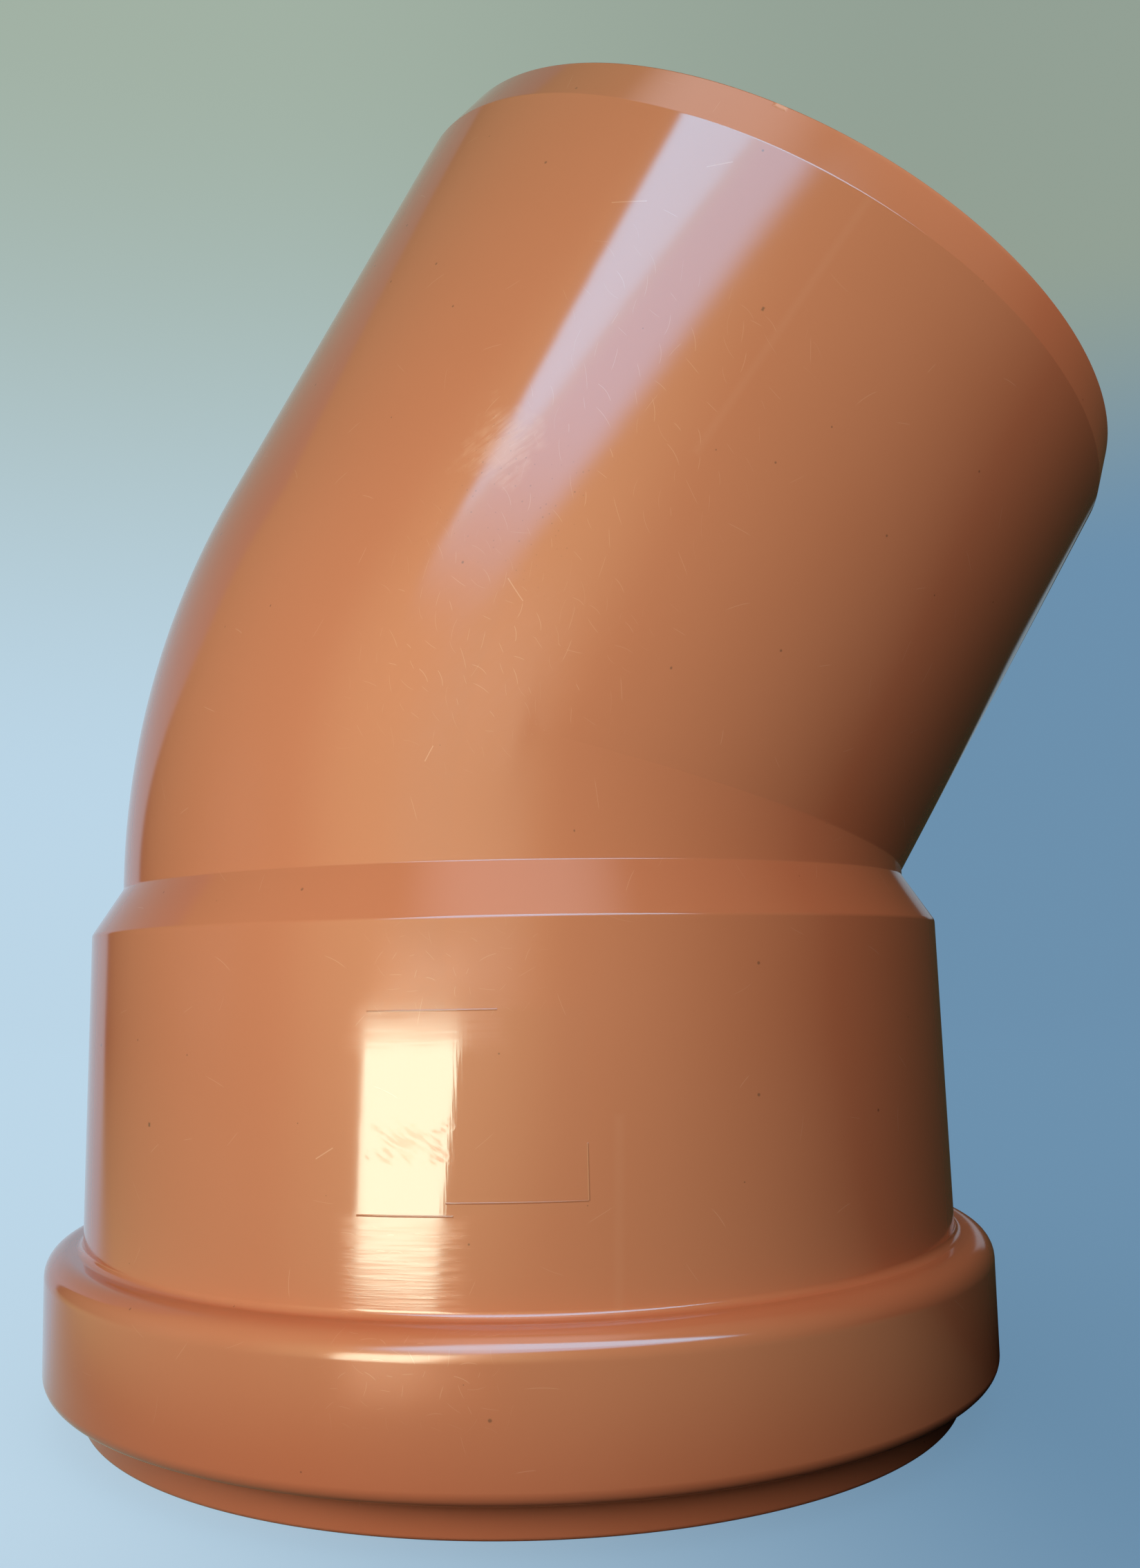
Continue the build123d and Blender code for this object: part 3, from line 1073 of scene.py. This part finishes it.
class PIPEBEND_OT_make_stage(bpy.types.Operator):
    """Make the floor, the background, the soft lamps and the camera"""

    bl_idname = "pipe_bend.make_stage"
    bl_label = "Make Studio"
    bl_options = {"REGISTER", "UNDO"}

    def execute(self, context):
        finishes = context.scene.finishes
        photo_camera()
        studio_world(finishes)
        floor = studio_floor(finishes)
        floor_sun(floor)
        for lamp in LAMPS:
            soft_lamp(*lamp, floor)
        reflector_card(CARD_CORNERS, CARD_BRIGHTNESS)
        context.scene.view_settings.view_transform = "Standard"
        return {"FINISHED"}


class PIPEBEND_PT_panel(bpy.types.Panel):
    """Lists the sizes, the colours and the operators."""

    bl_idname = "PIPEBEND_PT_panel"
    bl_label = "Pipe Bend"
    bl_space_type = "VIEW_3D"
    bl_region_type = "UI"
    bl_category = "Pipe Bend"

    def draw(self, context):
        layout = self.layout
        for group in (context.scene.bend_sizes, context.scene.seal_sizes, context.scene.finishes):
            column = layout.column(align=True)
            for name in group.bl_rna.properties.keys():
                if name not in ("rna_type", "name"):
                    column.prop(group, name)
        for name in ("make_bend", "make_seal", "make_stage"):
            layout.operator("pipe_bend." + name)


classes = (
    BendSizes,
    SealSizes,
    Finishes,
    PIPEBEND_OT_make_bend,
    PIPEBEND_OT_make_seal,
    PIPEBEND_OT_make_stage,
    PIPEBEND_PT_panel,
)


def register():
    """Registers the classes and their settings."""
    for item in classes:
        bpy.utils.register_class(item)
    bpy.types.Scene.bend_sizes = PointerProperty(type=BendSizes)
    bpy.types.Scene.seal_sizes = PointerProperty(type=SealSizes)
    bpy.types.Scene.finishes = PointerProperty(type=Finishes)


def unregister():
    """Removes the settings and the classes."""
    del bpy.types.Scene.finishes
    del bpy.types.Scene.seal_sizes
    del bpy.types.Scene.bend_sizes
    for item in reversed(classes):
        bpy.utils.unregister_class(item)


def main():
    """Makes the bend, its ring and the studio."""
    register()
    bpy.ops.pipe_bend.make_stage()
    bpy.ops.pipe_bend.make_bend()
    bpy.ops.pipe_bend.make_seal()


if __name__ == "__main__":
    main()
